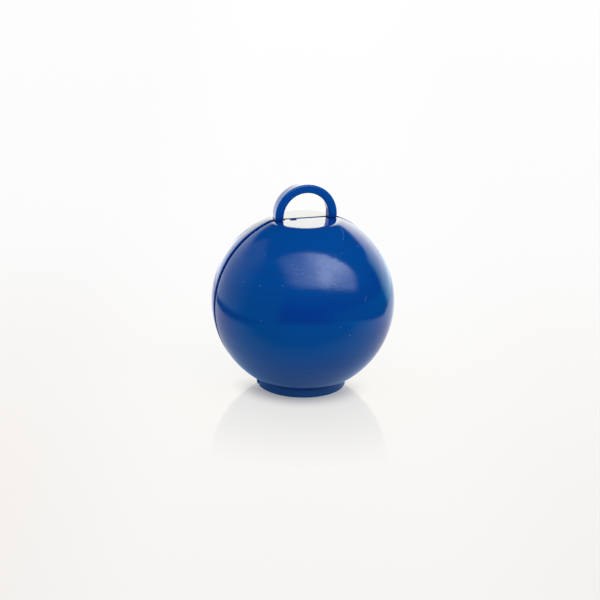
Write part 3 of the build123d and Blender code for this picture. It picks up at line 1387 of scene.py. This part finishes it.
@dataclass(frozen=True)
class Room:
    """The room round the object: pale walls behind and at the sides, and a dim bluish glow in front.

    Angles are in degrees, round from the front towards +X and up from the horizon. A pair is the two ends of
    a smooth step.
    """

    wall_level: float = 5.0
    wall_curve: tuple[Span, ...] = (
        (-180, 0.50),
        (-168, 0.33),
        (-150, 0.21),
        (-140, 0.13),
        (-120, 0.06),
        (-100, 0.018),
        (-88, 0.0),
        (100, 0.0),
        (104, 0.06),
        (110, 0.17),
        (120, 0.28),
        (130, 0.42),
        (150, 0.66),
        (158, 0.81),
        (167, 0.81),
        (180, 0.50),
    )
    rear_tint: Colour = (1.0, 0.955, 0.745, 1.0)
    rear_tint_across: Span = (132.0, 150.0)
    rear_tint_turn: float = 30.0
    right_height: float = 22.0
    right_slope: float = 0.4
    right_slopes_across: tuple[Span, ...] = ((112.0, 12.5), (140.0, 20.0))
    right_fade: Span = (3.5, -3.5)
    behind: Span = (125.0, 150.0)
    behind_low: Span = (-20.0, 22.0)
    behind_low_loss: float = 0.65
    left_near: Span = (-140.0, -112.0)
    left_fade: Span = (55.0, 45.0)
    left_step: Span = (35.0, 20.0)
    left_step_share: float = 0.6
    left_gap_across: Span = (-144.0, -150.0)
    left_gap_up: Span = (29.0, 34.0)
    glow_level: float = 0.5
    glow_tint: Colour = (0.0, 1.0, 1.05, 1.0)
    glow_facing: Span = (-1.1, 0.3)
    dark_loss: float = 0.46
    dark_left: Span = (-54.0, -36.0)
    dark_right: Span = (-10.0, 45.0)
    dark_right_loss: float = 0.45
    dark_up: Span = (30.0, 4.0)
    near_wall_level: float = 0.42
    near_wall_across: tuple[Span, Span] = ((98.0, 106.0), (134.0, 114.0))
    near_wall_up: Span = (26.0, 18.0)

    def walls(self, graph: NodeGraph, across: Signal) -> Signal:
        """How bright the walls are all round: pale behind, dark at both sides."""
        return graph.curve(across, self.wall_curve) * self.wall_level

    def wall_colour(self, graph: NodeGraph, across: Signal) -> bpy.types.NodeSocket:
        """The walls' colour: white at the sides, cream behind and further round on the left."""
        turned = across.largest(0 - across - self.rear_tint_turn)
        return graph.mix(turned.rise(*self.rear_tint_across), WHITE, self.rear_tint)

    def wall_heights(self, across: Signal, up: Signal) -> Signal:
        """Where the walls end: a clear edge on the right and behind, and a slow fade on the left.

        Args:
            across: The angle round from the front.
            up: The angle above the horizon.

        Returns:
            The share of the wall's light that comes from that direction.
        """
        edge = self.right_height
        for start, span in self.right_slopes_across:
            edge = edge + (across - start).largest(0.0).smallest(span) * self.right_slope
        right = (across > 0.0) * (up - edge).rise(*self.right_fade)
        low = across.rise(*self.behind) * (1 - up.rise(*self.behind_low))
        right = right * (1 - low * self.behind_low_loss)
        near = across.rise(*self.left_near)
        left = up.rise(*self.left_fade) * (1 - self.left_step_share + near * self.left_step_share)
        left = (across < 0.0) * (left + up.rise(*self.left_step) * (1 - near) * self.left_step_share)
        left = left * (1 - across.rise(*self.left_gap_across) * up.rise(*self.left_gap_up))
        return right + left

    def glow(self, across: Signal, up: Signal | None = None) -> Signal:
        """The dim room, darkest in front below the box.

        Args:
            across: The angle round from the front.
            up: The angle above the horizon, or nothing at the horizon and below.

        Returns:
            How bright the room is in that direction.
        """
        dark = across.rise(*self.dark_left) * (1 - across.rise(*self.dark_right) * self.dark_right_loss)
        if up is not None:
            dark = dark * up.rise(*self.dark_up)
        return self.glow_level - dark * self.dark_loss

    def near_wall(self, across: Signal) -> Signal:
        """The bluish near end of the right-hand wall."""
        return across.between(*self.near_wall_across) * self.near_wall_level


@dataclass(frozen=True)
class Light:
    """The world's light: clear forms for the gloss to mirror, and a soft fill for all else."""

    view: Viewpoint
    room: Room
    box: SoftBox = SoftBox()
    soft_share: float = 0.6
    room_fill: float = 0.57
    left_fill: float = 0.2
    left_fill_fade: Span = (-0.6, 0.8)
    right_fill: float = 0.2
    right_fill_fade: Span = (-0.2, 0.9)

    def set_world(self) -> None:
        """Lights the object from the box in front and above, and from pale walls behind and at the sides."""
        world = bpy.data.worlds.new("studio")
        world.use_nodes = True
        bpy.context.scene.world = world
        graph = NodeGraph(world.node_tree)
        x, y, z = graph.split(graph.node("ShaderNodeTexCoord").outputs["Generated"])
        across = x.angle_from(0 - y)
        up = z.sine_to_degrees()
        box = self.box.brightness(graph, (x, y, z), across, up)
        walls = self.room.walls(graph, across) * self.room.wall_heights(across, up)
        to_camera = self.view.back()
        facing = x * to_camera.x + y * to_camera.y + z * to_camera.z
        room_glow = self.room.glow(across, up) * facing.rise(*self.room.glow_facing)
        room_glow = room_glow + self.room.near_wall(across) * up.rise(*self.room.near_wall_up)
        mirrored = graph.add_up(
            graph.glow(self.box.tint, box),
            graph.glow(self.room.wall_colour(graph, across), walls),
            graph.glow(self.room.glow_tint, room_glow),
        )
        side_fill = (0 - x).rise(*self.left_fill_fade) * self.left_fill
        side_fill = side_fill + x.rise(*self.right_fill_fade) * self.right_fill
        fill = graph.glow(WHITE, (box + walls) * self.soft_share + side_fill + self.room_fill)
        path = graph.node("ShaderNodeLightPath").outputs
        lit = graph.blend(path["Is Glossy Ray"], fill, mirrored)
        seen = graph.blend(path["Is Camera Ray"], lit, graph.glow(WHITE, 1.0))
        graph.node("ShaderNodeOutputWorld", None, {"Surface": seen})


@dataclass(frozen=True)
class Table:
    """The pale table: white to the camera with painted shade, darker towards the camera and at the near
    corners, a lit patch for the gloss to mirror, and a soft fill for all else.

    Lengths are on the table, from the middle of the foot, and angles are the room's. A pair is the two ends
    of a smooth step, and three numbers are red, green and blue.
    """

    view: Viewpoint
    room: Room
    side: float = 8.0
    # Painted shade across the table: brightness by depth, darker towards the camera.
    painted_falloff: tuple[Span, ...] = (
        (-0.15, 0.89),
        (-0.112, 0.915),
        (-0.07, 0.935),
        (-0.013, 0.96),
        (0.064, 0.968),
        (0.171, 0.98),
        (0.594, 1.0),
    )
    # Painted shade at the table's sides and near corners, the corners also warmer.
    left_side: Span = (-25 * MM, -75 * MM)
    right_side: Span = (25 * MM, 75 * MM)
    right_side_share: float = 0.6
    side_painted_shade: float = 0.018
    near: Span = (150 * MM, -90 * MM)
    corner_painted_shade: Place = (0.025, 0.050, 0.060)
    near_painted_shade: Place = (0.0, 0.012, 0.026)
    matt_colour: Colour = (0.9, 0.9, 0.9, 1.0)
    matt_share: float = 0.07
    foot_shade: Span = (19 * MM, 11.3 * MM)
    foot_shade_share: float = 0.66
    foot_shade_rear: float = 0.1
    foot_shade_front: Span = (3 * MM, -7 * MM)
    mirror_colour: Colour = (0.235, 0.235, 0.235, 1.0)
    mirror_roughness: float = 0.05
    mirror_share: float = 0.25
    mirror_reach: float = 54 * MM
    mirror_front: Span = (12 * MM, -2 * MM)
    fill_level: float = 0.85
    fill_tint: Place = (1.0, 1.0, 0.88)
    fill_reach: Span = (11 * MM, 45 * MM)
    fill_by_foot: float = 0.25
    patch_tint: Place = (1.0, 1.0, 1.1)
    patch_left: Span = (-88 * MM, -72 * MM)
    patch_left_slant: float = 0.25
    patch_right: Span = (92 * MM, 76 * MM)
    patch_right_slant: float = 0.9
    patch_front: Span = (-165 * MM, -115 * MM)
    patch_reach: Span = (160 * MM, 115 * MM)
    patch_level: float = 0.55
    patch_level_per_x: float = 0.0045 / MM
    patch_level_per_y: float = 0.0112 / MM
    patch_by_foot: float = 0.2
    patch_by_foot_reach: Span = (6.5 * MM, 22 * MM)
    patch_by_foot_slant: float = 0.2
    patch_glow: float = 0.55
    patch_glow_front: Span = (24 * MM, -36 * MM)
    patch_glow_reach: Span = (4 * MM, 40 * MM)
    wall_reach: Span = (105 * MM, 150 * MM)
    wall_share: float = 0.8
    wall_rear_loss: float = 0.32
    wall_left_gain: float = 0.35
    glow_by_ball: float = 0.45
    glow_left: tuple[Span, Span] = ((-88.0, -66.0), (-30.0, -50.0))
    right_glow: float = 0.18
    right_glow_x: Span = (35 * MM, 80 * MM)
    ball_bounce: Place = (0.0, 0.09, 0.30)
    ball_bounce_reach: Span = (32 * MM, 13 * MM)

    def build(self) -> None:
        """Lays the table, which mirrors the ball faintly in front of the foot."""
        Bench.clear()
        bpy.ops.mesh.primitive_plane_add(size=self.side, location=(0, 0, 0))
        table = Bench.begin("table")
        Bench.close_up()
        made, graph, place = start_material("table_white")
        x, y, _ = graph.split(place)
        reach = (x * x + y * y) ** 0.5
        seen = graph.signal("ShaderNodeLightPath", None, None, "Is Camera Ray")
        own_light = graph.glow(self._own_light(graph, x, y, reach, seen), 1.0)
        matt = graph.node("ShaderNodeBsdfDiffuse", None, {"Color": self.matt_colour})
        front = self.view.depth(x, y).rise(*self.foot_shade_front)
        by_foot = reach.rise(*self.foot_shade) * (self.foot_shade_rear + front * (1 - self.foot_shade_rear))
        matt_share = seen * (self.matt_share + by_foot * self.foot_shade_share)
        shaded = graph.blend(matt_share, own_light, matt.outputs[0])
        sockets = {"Color": self.mirror_colour, "Roughness": self.mirror_roughness}
        mirror = graph.node("ShaderNodeBsdfGlossy", None, sockets)
        in_front = (1 - reach / self.mirror_reach).largest(0.0) * y.rise(*self.mirror_front)
        whole = graph.blend(seen * in_front * self.mirror_share, shaded, mirror.outputs[0])
        graph.node("ShaderNodeOutputMaterial", None, {"Surface": whole})
        table.data.materials.append(made)

    def _own_light(
        self, graph: NodeGraph, x: Signal, y: Signal, reach: Signal, seen: Signal
    ) -> bpy.types.NodeSocket:
        """The light that the table gives by itself.

        Args:
            graph: The table's nodes.
            x: Sideways place on the table.
            y: Place along the table.
            reach: Distance from the foot's middle.
            seen: 1 for the camera's rays.

        Returns:
            The light's colour.
        """
        mirrored = graph.signal("ShaderNodeLightPath", None, None, "Is Glossy Ray")
        depth, aside = self.view.depth(x, y), self.view.aside(x, y)
        painted_falloff = graph.curve(depth, self.painted_falloff)
        sides = aside.rise(*self.left_side) + aside.rise(*self.right_side) * self.right_side_share
        near = depth.rise(*self.near)
        bright, dim = self._mirrored_light(graph, x, y, reach)
        under_ball = reach.rise(*self.ball_bounce_reach)
        fill = self.fill_by_foot + reach.rise(*self.fill_reach) * (1 - self.fill_by_foot)
        fill = (1 - seen - mirrored) * fill * self.fill_level
        # To the camera: white with painted shade; to the gloss: the mirrored light; to all else: the fill.
        parts = {
            name: seen * painted_falloff * (1 - sides * (self.side_painted_shade + near * corner) - near * close)
            + mirrored * (bright * cast + dim * glow + under_ball * bounce)
            + fill * warmth
            for name, corner, close, cast, glow, bounce, warmth in zip(
                ("Red", "Green", "Blue"),
                self.corner_painted_shade,
                self.near_painted_shade,
                self.patch_tint,
                self.room.glow_tint,
                self.ball_bounce,
                self.fill_tint,
            )
        }
        return graph.node("ShaderNodeCombineColor", {"mode": "RGB"}, parts).outputs[0]

    def _mirrored_light(
        self, graph: NodeGraph, x: Signal, y: Signal, reach: Signal
    ) -> tuple[Signal, Signal]:
        """What the plastic mirrors of the table: the box's patch in front, and the room beyond it.

        Args:
            graph: The table's nodes.
            x: Sideways place on the table.
            y: Place along the table.
            reach: Distance from the foot's middle.

        Returns:
            The bright light and the room's dim one.
        """
        depth = self.view.depth(x, y)
        behind = y.largest(0.0)
        patch = (x - behind * self.patch_left_slant).rise(*self.patch_left)
        patch = patch * (x - behind * self.patch_right_slant).rise(*self.patch_right)
        patch = patch * y.rise(*self.patch_front) * reach.rise(*self.patch_reach)
        level = self.patch_level + x * self.patch_level_per_x + y * self.patch_level_per_y
        by_foot = (reach + x * self.patch_by_foot_slant).rise(*self.patch_by_foot_reach)
        patch_light = level.largest(0.0).smallest(1.0)
        patch_light = patch_light * (self.patch_by_foot + by_foot * (1 - self.patch_by_foot))
        patch_glow = depth.rise(*self.patch_glow_front) * reach.rise(*self.patch_glow_reach) * self.patch_glow
        across = x.angle_from(0 - y)
        beyond = reach.rise(*self.wall_reach)
        share = self.wall_share - across.rise(*self.room.behind) * self.wall_rear_loss
        share = share + (across < 0.0) * self.wall_left_gain
        wall_light = self.room.walls(graph, across) * beyond * share
        open_room = beyond.largest(across.between(*self.glow_left))
        wall_glow = self.room.glow(across) * (0 - depth / reach).rise(*self.room.glow_facing)
        wall_glow = wall_glow * (self.glow_by_ball + open_room * (1 - self.glow_by_ball))
        wall_glow = wall_glow + self.room.near_wall(across) * beyond
        bright = patch * patch_light + (1 - patch) * wall_light
        dim = patch * patch_glow + (1 - patch) * wall_glow + x.rise(*self.right_glow_x) * self.right_glow
        return bright, dim


def main() -> None:
    """Builds the pieces and the studio in order."""
    logging.basicConfig(level=logging.INFO, format="%(name)s: %(message)s")
    bpy.context.scene.view_settings.view_transform = "Standard"
    ball = BallForm()
    plastic = BluePlastic(ball).material()
    mineral = CastMineral().material()
    hollow = ball.hollow()
    FrontShell(ball, plastic).build(hollow)
    RearShell(ball, plastic).build(hollow)
    Bench.discard(hollow)
    BallastCore(ball, mineral).build()
    view, room = Viewpoint(), Room()
    view.set_camera(Vector((0, 0, ball.centre_z)))
    Light(view, room).set_world()
    Table(view, room).build()


if __name__ == "__main__":
    main()
